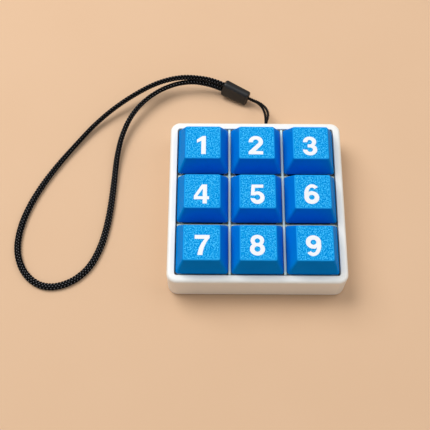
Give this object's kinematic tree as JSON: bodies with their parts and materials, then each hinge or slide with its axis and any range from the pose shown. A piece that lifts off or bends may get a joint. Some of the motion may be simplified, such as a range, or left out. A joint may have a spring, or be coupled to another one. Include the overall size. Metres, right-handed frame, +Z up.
{
  "type": "macro keypad",
  "caption": "Small square desk keypad with sculpted blue number keys on low-profile switches in a white case, with a braided wrist loop tied to its back wall.",
  "frame": {"origin": "on the table, under the middle of the case's square footprint", "axes": "+X to the right along a row of keys, +Y to the back where the lanyard is tied, +Z up"},
  "size_m": [0.1183, 0.0869, 0.0221],
  "materials": {
    "keycap_blue": "moulded blue plastic, fine texture on top",
    "case_white": "moulded white plastic, satin gloss",
    "plate_white": "moulded white plastic, matt",
    "cover_white": "moulded white plastic, fine texture",
    "switch_black": "moulded black plastic",
    "stem_brown": "moulded brown acetal",
    "spring_steel": "drawn spring wire",
    "contact_brass": "stamped brass strip",
    "screw_steel": "plated steel",
    "foot_rubber": "black rubber",
    "board_green": "green solder mask",
    "chip_black": "black moulding compound",
    "diode_black": "black moulding compound",
    "socket_steel": "stamped steel shell",
    "socket_black": "black moulded insulator",
    "bead_black": "moulded black plastic, satin",
    "cord_black": "braided black polyester",
    "string_black": "twisted black nylon"
  },
  "bodies": {
    "case": {"contact_leaves": "contact_brass", "fixed_contacts": "contact_brass", "case_frame": "case_white", "switch_plate": "plate_white", "bottom_cover": "cover_white", "cover_screws": "screw_steel", "rubber_feet": "foot_rubber", "circuit_board": "board_green", "controller_chip": "chip_black", "diodes": "diode_black", "usb_socket_shell": "socket_steel", "usb_socket_tongue": "socket_black", "lanyard_bead": "bead_black", "lanyard_loop": "cord_black", "lanyard_string": "string_black", "switch_spring_1": "spring_steel", "switch_top_1": "switch_black", "switch_base_1": "switch_black", "switch_spring_2": "spring_steel", "switch_top_2": "switch_black", "switch_base_2": "switch_black", "switch_spring_3": "spring_steel", "switch_top_3": "switch_black", "switch_base_3": "switch_black", "switch_spring_4": "spring_steel", "switch_top_4": "switch_black", "switch_base_4": "switch_black", "switch_spring_5": "spring_steel", "switch_top_5": "switch_black", "switch_base_5": "switch_black", "switch_spring_6": "spring_steel", "switch_top_6": "switch_black", "switch_base_6": "switch_black", "switch_spring_7": "spring_steel", "switch_top_7": "switch_black", "switch_base_7": "switch_black", "switch_spring_8": "spring_steel", "switch_top_8": "switch_black", "switch_base_8": "switch_black", "switch_spring_9": "spring_steel", "switch_top_9": "switch_black", "switch_base_9": "switch_black"},
    "key_1": {"keycap_1": "keycap_blue", "switch_stem_1": "stem_brown"},
    "key_2": {"keycap_2": "keycap_blue", "switch_stem_2": "stem_brown"},
    "key_3": {"keycap_3": "keycap_blue", "switch_stem_3": "stem_brown"},
    "key_4": {"keycap_4": "keycap_blue", "switch_stem_4": "stem_brown"},
    "key_5": {"keycap_5": "keycap_blue", "switch_stem_5": "stem_brown"},
    "key_6": {"keycap_6": "keycap_blue", "switch_stem_6": "stem_brown"},
    "key_7": {"keycap_7": "keycap_blue", "switch_stem_7": "stem_brown"},
    "key_8": {"keycap_8": "keycap_blue", "switch_stem_8": "stem_brown"},
    "key_9": {"keycap_9": "keycap_blue", "switch_stem_9": "stem_brown"}
  },
  "joints": [
    {"name": "key_1_press", "type": "slide", "parent": "case", "child": "key_1", "axis": [0, 0, -1], "range_m": [0, 0.0032], "stiffness_N_per_m": 62, "springref_m": -0.0056, "deforming": ["switch_spring_1"]},
    {"name": "key_2_press", "type": "slide", "parent": "case", "child": "key_2", "axis": [0, 0, -1], "range_m": [0, 0.0032], "stiffness_N_per_m": 62, "springref_m": -0.0056, "deforming": ["switch_spring_2"]},
    {"name": "key_3_press", "type": "slide", "parent": "case", "child": "key_3", "axis": [0, 0, -1], "range_m": [0, 0.0032], "stiffness_N_per_m": 62, "springref_m": -0.0056, "deforming": ["switch_spring_3"]},
    {"name": "key_4_press", "type": "slide", "parent": "case", "child": "key_4", "axis": [0, 0, -1], "range_m": [0, 0.0032], "stiffness_N_per_m": 62, "springref_m": -0.0056, "deforming": ["switch_spring_4"]},
    {"name": "key_5_press", "type": "slide", "parent": "case", "child": "key_5", "axis": [0, 0, -1], "range_m": [0, 0.0032], "stiffness_N_per_m": 62, "springref_m": -0.0056, "deforming": ["switch_spring_5"]},
    {"name": "key_6_press", "type": "slide", "parent": "case", "child": "key_6", "axis": [0, 0, -1], "range_m": [0, 0.0032], "stiffness_N_per_m": 62, "springref_m": -0.0056, "deforming": ["switch_spring_6"]},
    {"name": "key_7_press", "type": "slide", "parent": "case", "child": "key_7", "axis": [0, 0, -1], "range_m": [0, 0.0032], "stiffness_N_per_m": 62, "springref_m": -0.0056, "deforming": ["switch_spring_7"]},
    {"name": "key_8_press", "type": "slide", "parent": "case", "child": "key_8", "axis": [0, 0, -1], "range_m": [0, 0.0032], "stiffness_N_per_m": 62, "springref_m": -0.0056, "deforming": ["switch_spring_8"]},
    {"name": "key_9_press", "type": "slide", "parent": "case", "child": "key_9", "axis": [0, 0, -1], "range_m": [0, 0.0032], "stiffness_N_per_m": 62, "springref_m": -0.0056, "deforming": ["switch_spring_9"]}
  ]
}
